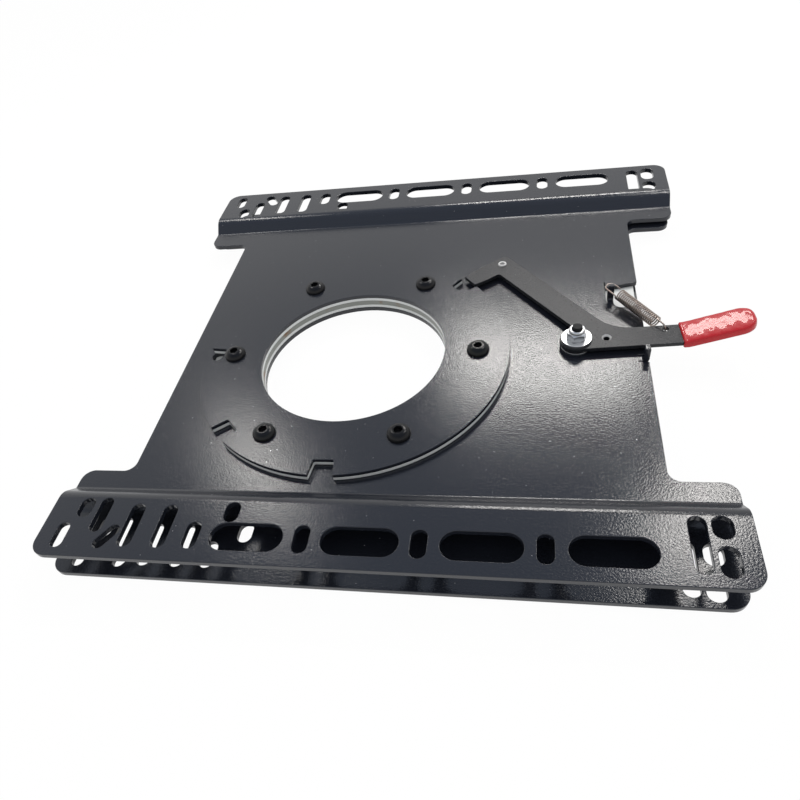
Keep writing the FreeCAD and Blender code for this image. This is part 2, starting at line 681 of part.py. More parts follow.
def pivot_nut():
    """Self-locking nut: a hexagon below a round crimped collar."""
    hex_top = NUT_UNDER + LOCK_NUT_HEX_HEIGHT
    bore = STUD_DIA / 2
    body = chamfered_nut(PIVOT_X, PIVOT_Y, LOCK_NUT_FLATS, bore, NUT_UNDER, hex_top)
    body.rotate(PIVOT, V(0, 0, 1), 12)
    collar = post(PIVOT_X, PIVOT_Y, LOCK_NUT_COLLAR_DIA / 2, hex_top, NUT_TOP)
    rim = [e for e in collar.Edges if e.BoundBox.ZMin > NUT_TOP - 0.01]
    collar = collar.makeFillet(1.2, rim)
    collar = collar.cut(post(PIVOT_X, PIVOT_Y, bore, hex_top - 1, NUT_TOP + 1))
    return body.fuse(collar).removeSplitter()


def spring_ends():
    """The two points between which the spring's axis runs at rest."""
    finger = V(FINGER_X + FINGER_WIDTH / 2, FINGER_FACE_Y + SHEET / 2,
               PLATE_TOP + SPRING_FINGER_HEIGHT)
    x, y = along_handle(SPRING_HOLE_X, SPRING_HOLE_Y)
    hole = V(x, y, LEVER_TOP) - PIVOT
    x, y = turned(hole.x, hole.y, -lever_rest_turn())
    mean = (SPRING_DIA - WIRE_DIA) / 2
    depth = mean - LEVER_THICKNESS - SPRING_LEVER_RISE
    return finger, V(PIVOT_X + x, PIVOT_Y + y, LEVER_TOP + depth)


def wire_line():
    """Centreline of the spring wire: finger loop, coil and lever loop, along +Z."""
    finger, hole = spring_ends()
    mean = (SPRING_DIA - WIRE_DIA) / 2
    run = (hole - finger).Length - FINGER_HOOK_REACH - LEVER_HOOK_REACH
    loop = [math.pi * (0.5 + k / HOOK_STEPS) for k in range(HOOK_STEPS + 1)]
    points = [V(-mean, 0, -FINGER_HOOK_REACH * 0.4)]
    for a in loop:
        points.append(V(mean * math.sin(a - math.pi), 0,
                        mean * math.cos(a) - FINGER_HOOK_REACH))
    turns = SPRING_TURNS + 0.75
    count = round(turns * STEPS_PER_TURN)
    for k in range(count + 1):
        a = 2 * math.pi * turns * k / count
        points.append(V(mean * math.cos(a), mean * math.sin(a), run * k / count))
    reach = LEVER_HOOK_REACH - mean + LEVER_HOOK_PAST
    for a in loop:
        points.append(V(0, -mean * math.sin(a), run + reach - mean * math.cos(a)))
    points.append(V(0, mean, run + reach * 0.3))
    return points


def wire_sections(points):
    """Six-sided wire sections, mitred at every corner of the centreline."""
    steps = [(b - a).normalize() for a, b in zip(points, points[1:])]
    side = steps[0].cross(V(0, 1, 0.3)).normalize()
    sections = []
    for i, place in enumerate(points):
        before = steps[max(i - 1, 0)]
        after = steps[min(i, len(steps) - 1)]
        normal = (before + after).normalize()
        other = before.cross(side)
        corners = []
        for k in range(6):
            a = math.radians(60 * k)
            out = (side * math.cos(a) + other * math.sin(a)) * (WIRE_DIA / 2)
            corners.append(place + out - before * (out.dot(normal) / before.dot(normal)))
        sections.append(Part.makePolygon(corners + corners[:1]))
        side = FreeCAD.Rotation(before, after).multVec(side)
    return sections


def return_spring():
    """Extension spring: one wire with a level loop and an upright loop."""
    finger, hole = spring_ends()
    axis = (hole - finger).normalize()
    body = Part.makeLoft(wire_sections(wire_line()), True, True)
    level = V(axis.y, -axis.x, 0).normalize()
    body.Placement = FreeCAD.Placement(
        finger + axis * FINGER_HOOK_REACH,
        FreeCAD.Rotation(level, V(0, 0, 1), axis, "ZXY"))
    return body


def glide_pad(side):
    """Nylon glide on the lower plate, under the overhang beside the lever."""
    y = PLATE_CENTRE_Y + side * PAD_FROM_MIDDLE
    right = RIGHT_WAIST - PAD_EDGE
    points = [(right - PAD_WIDTH, y - PAD_LENGTH / 2, PAD_CORNER),
              (right, y - PAD_LENGTH / 2, PAD_CORNER),
              (right, y + PAD_LENGTH / 2, PAD_CORNER),
              (right - PAD_WIDTH, y + PAD_LENGTH / 2, PAD_CORNER)]
    return plate_from(points, LOWER_TOP, PLATE_UNDER)


def all_pieces():
    """Every piece of the seat base under its node name."""
    pieces = {
        "lower_plate": lower_plate(),
        "lower_slide_ring": ring(RING_RADIUS, LOWER_TOP, PLATE_UNDER),
        "bearing_ring": ring(BEARING_RADIUS, PLATE_UNDER, BEARING_TOP),
        "upper_slide_ring": notched_ring(BEARING_TOP, LOCK_UNDER),
        "locking_ring": notched_ring(LOCK_UNDER, LOCK_TOP),
        "upper_plate": upper_plate(),
        "lever": lever(),
        "lever_grip": lever_grip(),
        "latch_rivet": latch_rivet(),
        "pivot_stud": pivot_stud(),
        "pivot_nut": pivot_nut(),
        "return_spring": return_spring(),
        "glide_pad_front": glide_pad(-1),
        "glide_pad_rear": glide_pad(1),
    }
    level = PLATE_TOP + THIN_WASHER_HEIGHT
    pieces["pivot_lower_washer"] = washer(THIN_WASHER_DIA, PLATE_TOP, level)
    pieces["pivot_spacer"] = washer(SPACER_DIA, level, LOCK_UNDER)
    pieces["pivot_washer"] = washer(TOP_WASHER_DIA, WASHER_UNDER, NUT_UNDER)
    for number, (x, y) in enumerate(bolt_places(), 1):
        pieces["ring_bolt_%d" % number] = ring_bolt(x, y)
        pieces["ring_nut_%d" % number] = chamfered_nut(
            x, y, RING_NUT_FLATS, BOLT_DIA / 2, -RING_NUT_HEIGHT, 0)
    return pieces


def main():
    """Write one STEP file for each piece."""
    os.makedirs("parts", exist_ok=True)
    for name, shape in all_pieces().items():
        shape.exportStep("parts/%s.step" % name)


main()
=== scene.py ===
"""Dresses the frame of a swivel seat base: two slotted plates, a latch lever, a spring.

Every CAD piece gets rounded edges and its finish. The spring, the dipped grip, the stud's
thread and the tubular rivet are surfaces computed from formulas. The values at the top
are in millimetres and degrees, in the frame's own axes.
"""
import json
import math

import bmesh
import bpy
import numpy as np
from bpy.props import FloatProperty, FloatVectorProperty, IntProperty, PointerProperty
from mathutils import Matrix, Vector


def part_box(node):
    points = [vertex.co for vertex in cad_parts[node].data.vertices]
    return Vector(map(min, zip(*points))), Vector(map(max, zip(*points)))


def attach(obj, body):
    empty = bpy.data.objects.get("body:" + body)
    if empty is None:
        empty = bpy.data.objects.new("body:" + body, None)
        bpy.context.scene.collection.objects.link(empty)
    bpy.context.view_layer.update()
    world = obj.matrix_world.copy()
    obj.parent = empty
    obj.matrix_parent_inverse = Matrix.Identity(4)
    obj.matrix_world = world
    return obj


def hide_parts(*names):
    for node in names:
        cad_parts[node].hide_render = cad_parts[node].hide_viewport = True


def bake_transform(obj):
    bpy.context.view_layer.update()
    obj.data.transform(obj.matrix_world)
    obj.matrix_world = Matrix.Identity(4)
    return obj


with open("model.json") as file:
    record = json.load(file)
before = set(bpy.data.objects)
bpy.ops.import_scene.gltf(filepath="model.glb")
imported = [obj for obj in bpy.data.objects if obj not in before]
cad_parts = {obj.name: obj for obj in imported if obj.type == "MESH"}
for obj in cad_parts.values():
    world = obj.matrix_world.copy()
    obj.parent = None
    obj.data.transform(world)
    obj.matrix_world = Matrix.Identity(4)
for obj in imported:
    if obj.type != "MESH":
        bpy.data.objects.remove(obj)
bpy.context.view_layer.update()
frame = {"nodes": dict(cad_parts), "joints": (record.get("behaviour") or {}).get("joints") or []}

bl_info = {
    "name": "Swivel seat base",
    "version": (1, 0, 0),
    "blender": (4, 5, 0),
    "location": "3D View > Sidebar > Seat base",
    "description": "Dresses the plates, rings, lever, grip and spring of a swivel seat base",
    "category": "Object",
}

MM = 0.001

# Pivot and handle of the lever, as it stands at rest
LEVER_JOINT = next(j for j in frame["joints"] if j["name"] == "lever_pivot")
PIVOT = np.array([*LEVER_JOINT["pos_m"][:2], 0.0]) / MM
HANDLE_ANGLE = math.radians(3.75465)
HANDLE_LIFT = math.radians(14.5)
HANDLE_OFFSET = -1.0
HANDLE_BEND_AT = 76.0
HANDLE_MIDDLE = 14.7
SPARE_HOLE = (21.6, -0.2)
# Reach of the painted highlight on the spare hole's sloping rim, mm
SPARE_HOLE_HIGHLIGHT_REACH = 3.7

# Spring: where it hooks the finger, its hole in the handle and the lengths of its legs
FINGER_POINT = np.array([198.1, 65.0, 19.8])
SPRING_HOLE = (63.7, 4.9, 15.55)
FINGER_LEG = 9.4
HOLE_LEG = 9.8
HOLE_LEG_PAST = 0.45
LEG_BEND = 0.8

# Dipped grip, along the handle from the pivot
GRIP_START = 73.2
GRIP_END = 122.4
GRIP_LIP = 1.1
GRIP_NOSE = 11.0
GRIP_NOSE_THICKNESS = 3.2
GRIP_DENT = (93.0, -3.0)

# Pivot stud: flange, shank and thread
STUD_FOOT = 6.6
STUD_FLANGE_TOP = 8.0
STUD_FLANGE_RADIUS = 6.0
STUD_RADIUS = 4.0
THREAD_START = 16.5
THREAD_END = 28.5
STUD_CHAMFER = 0.9

# Tubular rivet: radius and height of its foot, shank and rolled lip
RIVET = ((0.05, 10.7), (4.5, 10.7), (4.5, 13.2), (2.0, 13.2), (2.0, 16.2), (3.6, 16.2),
         (3.6, 16.8), (3.35, 17.15), (2.8, 17.3), (2.2, 17.15), (1.95, 16.7), (1.9, 15.6),
         (0.05, 15.5))

# Camera, in metres
CAMERA_PLACE = (0.1361, -0.3701, 0.3389)
CAMERA_RIGHT = (0.97939, 0.13755, -0.14790)
CAMERA_FORWARD = (-0.20168, 0.62646, -0.75291)
CAMERA_LENS = 28.834
CAMERA_SHIFT = (0.0046, 0.0658)

# Floor and lamps, in metres
FLOOR_HEIGHT = -0.0068
FLOOR_REACH = 6.0
LAMP_TINT = (1.0, 0.97, 0.93)

# Sprayed and dipped skins: dust specks, and the usual range of the orange peel's height
SPECK_SCALE = 200.0
SPECK_SHARE = 0.28
SPECK_COLOUR = (0.33, 0.33, 0.34)
PEEL_LOW, PEEL_HIGH = 0.35, 0.65

# Rounded edges: the least turn of a sharp edge in radians, and weld distances in metres
SHARP_TURN = 0.6
WELD = 2e-6
RIM_WELD = 1e-6


class SeatSizes(bpy.types.PropertyGroup):
    """Sizes that the dressed pieces are made from, in millimetres"""
    plate_edge: FloatProperty(name="Plate edge radius", default=0.45, min=0.0,
                              description="Rounding of the coated plates' edges, mm")
    ring_edge: FloatProperty(name="Ring edge radius", default=0.3, min=0.0,
                             description="Rounding of the rings' edges, mm")
    small_edge: FloatProperty(name="Small edge radius", default=0.2, min=0.0,
                              description="Rounding of nuts, bolts and washers, mm")
    coil_diameter: FloatProperty(name="Coil diameter", default=9.3,
                                 description="Outer diameter of the spring's coil, mm")
    wire_diameter: FloatProperty(name="Wire diameter", default=1.15,
                                 description="Diameter of the spring's wire, mm")
    coil_turns: FloatProperty(name="Coil turns", default=21.75,
                              description="Turns of the coil between its loops")
    thread_pitch: FloatProperty(name="Thread pitch", default=1.25,
                                description="Pitch of the pivot stud's thread, mm")
    thread_depth: FloatProperty(name="Thread depth", default=0.55,
                                description="Depth of the pivot stud's thread, mm")
    grip_width: FloatProperty(name="Grip width", default=23.4,
                              description="Width of the dipped grip, mm")
    grip_thickness: FloatProperty(name="Grip thickness", default=6.9,
                                  description="Thickness of the dipped grip, mm")
    grip_rings: IntProperty(name="Grip rings", default=90, min=20,
                            description="Rings along the dipped grip")


class SeatFinish(bpy.types.PropertyGroup):
    """Colours and surface values of the finishes"""
    coat_colour: FloatVectorProperty(name="Powder coat", subtype="COLOR",
                                     default=(0.011, 0.013, 0.019),
                                     description="Colour of the powder coat")
    coat_roughness: FloatProperty(name="Coat roughness", default=0.155, min=0.0, max=1.0,
                                  subtype="FACTOR", description="Roughness of the coat")
    lever_colour: FloatVectorProperty(name="Lever coat", subtype="COLOR",
                                      default=(0.012, 0.013, 0.016),
                                      description="Colour of the lever's coat")
    nylon_colour: FloatVectorProperty(name="Nylon", subtype="COLOR",
                                      default=(0.62, 0.64, 0.64),
                                      description="Colour of the slide rings and pads")
    bearing_colour: FloatVectorProperty(name="Bearing ring", subtype="COLOR",
                                        default=(0.20, 0.21, 0.195),
                                        description="Colour of the bare bearing ring")
    zinc_colour: FloatVectorProperty(name="Zinc", subtype="COLOR",
                                     default=(0.55, 0.555, 0.56),
                                     description="Colour of the zinc-plated pieces")
    oxide_colour: FloatVectorProperty(name="Black oxide", subtype="COLOR",
                                      default=(0.004, 0.004, 0.005),
                                      description="Colour of the blackened bolts")
    grip_colour: FloatVectorProperty(name="Grip", subtype="COLOR",
                                     default=(0.42, 0.004, 0.010),
                                     description="Colour of the dipped grip")
    wire_colour: FloatVectorProperty(name="Spring wire", subtype="COLOR",
                                     default=(0.30, 0.25, 0.22),
                                     description="Colour of the spring wire")


class SeatStage(bpy.types.PropertyGroup):
    """Lamps and backdrop"""
    window_level: FloatProperty(name="Window", default=29.5,
                                description="Brightness of the window behind the base")
    side_level: FloatProperty(name="Side window", default=14.0,
                              description="Brightness of the window at the left")
    corner_level: FloatProperty(name="Corner lamp", default=24.0,
                                description="Brightness of the lamp at the right")
    room_level: FloatProperty(name="Room level", default=0.8,
                              description="Strength of the room's diffuse light")


def sizes():
    """The sizes of the current scene."""
    return bpy.context.scene.seat_sizes


def finish():
    """The finishes of the current scene."""
    return bpy.context.scene.seat_finish


def made(name, build):
    """The named material, built on its first use."""
    found = bpy.data.materials.get(name)
    if found is None:
        found = bpy.data.materials.new(name)
        found.use_nodes = True
        build(found)
    return found


def fill(node, **values):
    """Set a node's properties and inputs by name, with _ for a space."""
    for key, value in values.items():
        if hasattr(node, key):
            setattr(node, key, value)
        else:
            node.inputs[key.replace("_", " ")].default_value = value
    return node


def put(tree, kind, **values):
    """New node with its properties and inputs filled in."""
    return fill(tree.nodes.new(kind), **values)


def mixed(tree, mask, first, second):
    """Output that goes from the first colour to the second as the mask rises."""
    mix = put(tree, "ShaderNodeMix", data_type="RGBA")
    mix.inputs[6].default_value = (*first, 1.0)
    mix.inputs[7].default_value = (*second, 1.0)
    tree.links.new(mask, mix.inputs[0])
    return mix.outputs[2]


def raised(tree, height, depth):
    """Normal output of a bump that is as deep as given where the height is 1."""
    bump = put(tree, "ShaderNodeBump", Strength=1.0, Distance=depth)
    tree.links.new(height, bump.inputs["Height"])
    return bump.outputs["Normal"]


def coat_grain_group():
    """Orange-peel height and dust specks of a sprayed or dipped skin."""
    name = "coat grain"
    if name in bpy.data.node_groups:
        return bpy.data.node_groups[name]
    tree = bpy.data.node_groups.new(name, "ShaderNodeTree")
    socket = tree.interface.new_socket
    socket("Position", in_out="INPUT", socket_type="NodeSocketVector")
    for value in ("Peel scale", "Speck scale", "Speck size"):
        socket(value, in_out="INPUT", socket_type="NodeSocketFloat")
    for value in ("Height", "Specks"):
        socket(value, in_out="OUTPUT", socket_type="NodeSocketFloat")
    start = tree.nodes.new("NodeGroupInput")
    end = tree.nodes.new("NodeGroupOutput")
    link = tree.links.new
    peel = put(tree, "ShaderNodeTexNoise", Detail=2.0, Roughness=0.6)
    link(start.outputs["Position"], peel.inputs["Vector"])
    link(start.outputs["Peel scale"], peel.inputs["Scale"])
    link(peel.outputs["Fac"], end.inputs["Height"])
    cells = put(tree, "ShaderNodeTexVoronoi")
    link(start.outputs["Position"], cells.inputs["Vector"])
    link(start.outputs["Speck scale"], cells.inputs["Scale"])
    near = put(tree, "ShaderNodeMath", operation="LESS_THAN")
    link(cells.outputs["Distance"], near.inputs[0])
    link(start.outputs["Speck size"], near.inputs[1])
    split = put(tree, "ShaderNodeSeparateColor")
    link(cells.outputs["Color"], split.inputs[0])
    some = put(tree, "ShaderNodeMath", operation="GREATER_THAN")
    some.inputs[1].default_value = 1.0 - SPECK_SHARE
    link(split.outputs[0], some.inputs[0])
    both = put(tree, "ShaderNodeMath", operation="MULTIPLY")
    link(near.outputs[0], both.inputs[0])
    link(some.outputs[0], both.inputs[1])
    link(both.outputs[0], end.inputs["Specks"])
    return tree


def coated(colour, roughness, peel_scale, peel_depth, speck_size, coat=0.0, shine=0.5):
    """Builder of a skin with orange peel, dust specks and slightly uneven gloss."""
    def build(material):
        tree = material.node_tree
        link = tree.links.new
        shader = fill(tree.nodes["Principled BSDF"], Specular_IOR_Level=shine,
                      Coat_Weight=coat, Coat_Roughness=0.06)
        place = put(tree, "ShaderNodeTexCoord")
        grain = put(tree, "ShaderNodeGroup", node_tree=coat_grain_group(),
                    Peel_scale=peel_scale, Speck_scale=SPECK_SCALE, Speck_size=speck_size)
        link(place.outputs["Object"], grain.inputs["Position"])
        height = grain.outputs["Height"]
        link(raised(tree, height, peel_depth), shader.inputs["Normal"])
        skin = mixed(tree, grain.outputs["Specks"], colour, SPECK_COLOUR)
        link(skin, shader.inputs["Base Color"])
        gloss = put(tree, "ShaderNodeMapRange", From_Min=PEEL_LOW, From_Max=PEEL_HIGH,
                    To_Min=roughness * 0.78, To_Max=roughness * 1.3)
        link(height, gloss.inputs["Value"])
        link(gloss.outputs["Result"], shader.inputs["Roughness"])
    return build


def plain(colour, roughness, metallic=0.0, grain_scale=0.0, grain_depth=0.0, shine=0.5):
    """Builder of a plain finish with an optional fine grain."""
    def build(material):
        tree = material.node_tree
        link = tree.links.new
        shader = fill(tree.nodes["Principled BSDF"], Base_Color=(*colour, 1.0),
                      Roughness=roughness, Metallic=metallic, Specular_IOR_Level=shine)
        if grain_depth:
            place = put(tree, "ShaderNodeTexCoord")
            noise = put(tree, "ShaderNodeTexNoise", Scale=grain_scale, Detail=2.0)
            link(place.outputs["Object"], noise.inputs["Vector"])
            link(raised(tree, noise.outputs["Fac"], grain_depth), shader.inputs["Normal"])
    return build


def powder_coat():
    """Glossy black powder coat of the plates and the locking ring."""
    f = finish()
    return made("powder coat", coated(f.coat_colour, f.coat_roughness, 750.0, 0.00011, 0.045))


def lever_coat():
    """Duller, greyer coat of the lever."""
    f = finish()
    return made("lever coat", coated(f.lever_colour, 0.33, 1000.0, 0.00012, 0.04, shine=0.27))


def nylon():
    """Pale nylon of the slide rings and glide pads."""
    return made("pale nylon", plain(finish().nylon_colour, 0.45))


def stained(colour, stain, scale):
    """Builder of a bare metal with blotches of a second colour."""
    def build(material):
        tree = material.node_tree
        link = tree.links.new
        shader = fill(tree.nodes["Principled BSDF"], Roughness=0.4, Metallic=0.5)
        place = put(tree, "ShaderNodeTexCoord")
        noise = put(tree, "ShaderNodeTexNoise", Scale=scale, Detail=4.0, Roughness=0.65)
        link(place.outputs["Object"], noise.inputs["Vector"])
        blotch = put(tree, "ShaderNodeMapRange", interpolation_type="SMOOTHSTEP",
                     From_Min=0.55, From_Max=0.68)
        link(noise.outputs["Fac"], blotch.inputs["Value"])
        skin = mixed(tree, blotch.outputs["Result"], colour, stain)
        link(skin, shader.inputs["Base Color"])
    return build


def bearing_steel():
    """Bare, lightly oiled steel with brown stains."""
    return made("bearing steel", stained(finish().bearing_colour, (0.16, 0.09, 0.045), 60.0))


def zinc():
    """Bright zinc plating."""
    return made("bright zinc", plain(finish().zinc_colour, 0.3, 1.0, 600.0, 0.00001))


def black_oxide():
    """Blackened steel of the bolts."""
    return made("black oxide", plain(finish().oxide_colour, 0.22, 0.0, 1500.0, 0.00001, 0.22))


def stud_black():
    """Dull blackened steel of the pivot stud."""
    return made("dull black", plain(finish().oxide_colour, 0.55, 0.0, 0.0, 0.0, 0.2))


def bare_steel_and_rim_highlight():
    """Plain bare steel of the rivet; on the spare hole's sloping rim its light grey is a painted
    highlight for the chamfer's bright reflection.
    """
    return made("bare steel and rim highlight", plain((0.45, 0.45, 0.45), 0.5, 0.4))


def dipped_vinyl():
    """Glossy red dipped vinyl, slightly crinkled."""
    colour = finish().grip_colour
    return made("dipped vinyl", coated(colour, 0.4, 260.0, 0.00012, 0.0, 0.3, 0.25))


def spring_steel():
    """Bare spring wire with coppery tints."""
    return made("spring wire", plain(finish().wire_colour, 0.28, 1.0))


def softened(node_name, body, edge, material):
    """Copy of a CAD node with its sharp edges rounded, standing for the node.

    The faces are parted along the sharp edges, each part is drawn in by the edge width,
    and the parts are joined again where they met.
    """
    mesh = frame["nodes"][node_name].data.copy()
    mesh.name = "dressed_" + node_name
    keep_normals(mesh)
    work = bmesh.new()
    work.from_mesh(mesh)
    bmesh.ops.remove_doubles(work, verts=work.verts, dist=WELD)
    mark = work.verts.layers.int.new("rim")
    sharp = closed_runs([e for e in work.edges if e.calc_face_angle(0.0) > SHARP_TURN])
    if edge > 0 and sharp:
        bmesh.ops.split_edges(work, edges=sharp)
        bmesh.ops.inset_region(work, faces=work.faces[:], thickness=edge * MM,
                               use_boundary=True, use_even_offset=True)
        rim = [v for v in work.verts if v.is_boundary]
        for vert in rim:
            vert[mark] = 1
        bmesh.ops.remove_doubles(work, verts=rim, dist=RIM_WELD)
    work.to_mesh(mesh)
    work.free()
    round_rim(mesh)
    return standing(mesh, body, material, node_name)


def closed_runs(edges):
    """The edges that belong to closed runs: those with a loose end are dropped."""
    while True:
        ends = {}
        for edge in edges:
            for vert in edge.verts:
                ends[vert] = ends.get(vert, 0) + 1
        kept = [e for e in edges if min(ends[v] for v in e.verts) > 1]
        if len(kept) == len(edges):
            return kept
        edges = kept


def read(collection, name, width, kind=np.float64):
    """One property of every element as an array with the given width."""
    values = np.empty(len(collection) * width, dtype=kind)
    collection.foreach_get(name, values)
    return values.reshape(-1, width) if width > 1 else values


def keep_normals(mesh):
    """Store the exact surface normal of every face corner beside the mesh."""
    normals = read(mesh.corner_normals, "vector", 3)
    store = mesh.attributes.new("exact normal", "FLOAT_VECTOR", "CORNER")
    store.data.foreach_set("vector", normals.ravel())


def round_rim(mesh):
    """Move the old sharp edge onto the arc between the drawn-in edges beside it.

    Each rim point moves by a share of the sum of the steps to its neighbours on the
    drawn-in edges: 0.29 for two of them, 0.21 for three, 0.16 for four or more. Its
    normal is the mean of the normals that met there; all others stay as they were.
    """
    places = read(mesh.vertices, "co", 3)
    ends = read(mesh.edges, "vertices", 2, np.int32)
    rim = read(mesh.attributes["rim"].data, "value", 1, np.int32)
    spokes = ends[rim[ends[:, 0]] != rim[ends[:, 1]]]
    outer = np.where(rim[spokes[:, 0]] == 1, spokes[:, 0], spokes[:, 1])
    inner = spokes.sum(axis=1) - outer
    total = np.zeros_like(places)
    np.add.at(total, outer, places[inner] - places[outer])
    number = np.bincount(outer, minlength=len(places))
    share = np.array([0.0, 0.0, 0.29, 0.21, 0.16])[np.minimum(number, 4)]
    mesh.vertices.foreach_set("co", (places + share[:, None] * total).ravel())
    corner = read(mesh.loops, "vertex_index", 1, np.int32)
    normals = read(mesh.attributes["exact normal"].data, "vector", 3)
    mean = np.zeros_like(places)
    np.add.at(mean, corner, normals)
    mean /= np.maximum(np.linalg.norm(mean, axis=1), 1e-9)[:, None]
    normals = np.where(rim[corner][:, None] == 1, mean[corner], normals)
    mesh.attributes.remove(mesh.attributes["rim"])
    mesh.attributes.remove(mesh.attributes["exact normal"])
    mesh.shade_smooth()
    mesh.normals_split_custom_set(normals.tolist())


def second_finish(mesh, place, reach, material):
    """Give the sloping faces within reach of a place a second material."""
    centre = read(mesh.polygons, "center", 3)
    normal = read(mesh.polygons, "normal", 3)
    near = np.linalg.norm(centre[:, :2] - place[:2] * MM, axis=1) < reach * MM
    slope = (normal[:, 2] > 0.3) & (normal[:, 2] < 0.93)
    mesh.materials.append(material)
    mesh.polygons.foreach_set("material_index", (near & slope).astype(np.int32))


def standing(mesh, body, material, *nodes):
    """Object for a mesh, riding its body and standing for its nodes."""
    mesh.materials.clear()
    mesh.materials.append(material)
    piece = bpy.data.objects.new(mesh.name, mesh)
    bpy.context.scene.collection.objects.link(piece)
    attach(piece, body)
    if nodes:
        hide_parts(*nodes)
    return piece


def placed(mesh, body, material, *nodes):
    """Object for a computed surface, shaded smooth up to edges of 40 degrees."""
    mesh.shade_smooth()
    mesh.set_sharp_from_angle(angle=math.radians(40))
    return standing(mesh, body, material, *nodes)


def surface(name, points):
    """Closed mesh of a grid of points in millimetres.

    Each row is a closed ring, neighbouring rings are joined by quads, and a fan of
    triangles about its mean point closes each end.
    """
    rings, around = points.shape[:2]
    index = np.arange(rings * around).reshape(rings, around)
    here, there = index[:-1], index[1:]
    quads = np.stack([here, np.roll(here, -1, axis=1), np.roll(there, -1, axis=1), there],
                     axis=-1).reshape(-1, 4)
    ends = np.stack([points[0].mean(axis=0), points[-1].mean(axis=0)])
    verts = np.vstack([points.reshape(-1, 3), ends])
    first, last = len(verts) - 2, len(verts) - 1
    low, high = index[0], index[-1]
    faces = quads.tolist()
    faces += np.stack([np.roll(low, -1), low, np.full(around, first)], axis=-1).tolist()
    faces += np.stack([high, np.roll(high, -1), np.full(around, last)], axis=-1).tolist()
    mesh = bpy.data.meshes.new(name)
    mesh.from_pydata((verts * MM).tolist(), [], faces)
    work = bmesh.new()
    work.from_mesh(mesh)
    bmesh.ops.recalc_face_normals(work, faces=work.faces)
    work.to_mesh(mesh)
    work.free()
    return mesh


def straight(outward, *points):
    """A straight stretch of wire through the points, with one outward direction."""
    return np.array(points), np.tile(np.array(outward, dtype=float), (len(points), 1))


def finger_loop(mean):
    """Loop at the finger, before the coil.

    A short leg, a half circle that is mean radius times (-cos, 0, -sin) of the angle, a
    leg back to the coil, and a quarter bend into its first turn.
    """
    half = np.linspace(0, math.pi, 25)
    quarter = np.linspace(0, math.pi / 2, 7)
    leg = [-1.0, 0.0, 0.0]
    back = [1.0, 0.0, 0.0]
    short = straight(leg, [-mean, -LEG_BEND, -FINGER_LEG * 0.4],
                     [-mean, -LEG_BEND, -FINGER_LEG * 0.7])
    out = np.stack([-np.cos(half), np.zeros_like(half), -np.sin(half)], axis=-1)
    loop = out * mean + [0, -LEG_BEND, -FINGER_LEG], out
    long = straight(back, [mean, -LEG_BEND, -FINGER_LEG * 0.6],
                    [mean, -LEG_BEND, -FINGER_LEG * 0.3])
    bend = np.stack([np.full_like(quarter, mean), -LEG_BEND * np.cos(quarter),
                     -LEG_BEND + LEG_BEND * np.sin(quarter)], axis=-1)
    return [short, loop, long, straight(back, *bend)]


def coil(mean, turns, run):
    """Coil: mean radius times (cos, sin) of the angle, rising in proportion to it."""
    share = np.linspace(0, 1, int(turns * 24))[1:-1]
    angle = 2 * math.pi * turns * share
    out = np.stack([np.cos(angle), np.sin(angle), np.zeros_like(angle)], axis=-1)
    line = out * mean
    line[:, 2] = run * share
    return [(line, out)]


def handle_loop(mean, run):
    """Loop at the handle's hole, after the coil.

    A quarter bend out of the last turn, a leg, a half circle that is mean radius times
    (0, -cos, sin) of the angle, and a short leg back.
    """
    half = np.linspace(0, math.pi, 25)
    quarter = np.linspace(0, math.pi / 2, 7)
    leg = [0.0, -1.0, 0.0]
    back = [0.0, 1.0, 0.0]
    reach = HOLE_LEG - mean + HOLE_LEG_PAST
    bend = np.stack([LEG_BEND - LEG_BEND * np.cos(quarter), np.full_like(quarter, -mean),
                     run + LEG_BEND * np.sin(quarter)], axis=-1)
    long = straight(leg, [LEG_BEND, -mean, run + reach * 0.6])
    out = np.stack([np.zeros_like(half), -np.cos(half), np.sin(half)], axis=-1)
    loop = out * mean + [LEG_BEND, 0, run + reach], out
    short = straight(back, [LEG_BEND, mean, run + reach * 0.6],
                     [LEG_BEND, mean, run + reach * 0.3])
    return [straight(leg, *bend), long, loop, short]


def spring_line(run):
    """Centreline of the spring's wire along +Z, and its outward direction.

    The coil stands on the origin and is as high as the run; the loops lie beyond it.
    """
    s = sizes()
    mean = (s.coil_diameter - s.wire_diameter) / 2
    parts = finger_loop(mean) + coil(mean, s.coil_turns, run) + handle_loop(mean, run)
    return np.vstack([line for line, _ in parts]), np.vstack([out for _, out in parts])


def swept_wire(line, outward, radius, around=12):
    """Tube: each ring is the line's point plus radius times the circle of its frame."""
    ahead = np.gradient(line, axis=0)
    ahead /= np.linalg.norm(ahead, axis=1, keepdims=True)
    first = outward - ahead * np.sum(outward * ahead, axis=1, keepdims=True)
    first /= np.linalg.norm(first, axis=1, keepdims=True)
    second = np.cross(ahead, first)
    a = np.linspace(0, 2 * math.pi, around, endpoint=False)
    ring = (first[:, None] * np.cos(a)[None, :, None]
            + second[:, None] * np.sin(a)[None, :, None])
    return line[:, None] + ring * radius


def handle_place(u, v, w):
    """Points at u along, v across and w above the pivot, turned with the handle."""
    c, s = math.cos(HANDLE_ANGLE), math.sin(HANDLE_ANGLE)
    return np.stack([PIVOT[0] + u * c - v * s, PIVOT[1] + u * s + v * c, w], axis=-1)


def eased(share, power):
    """Superellipse quarter: 0 at 0 and 1 at 1, rising steeply at first."""
    return (1 - (1 - share) ** power) ** (1 / power)


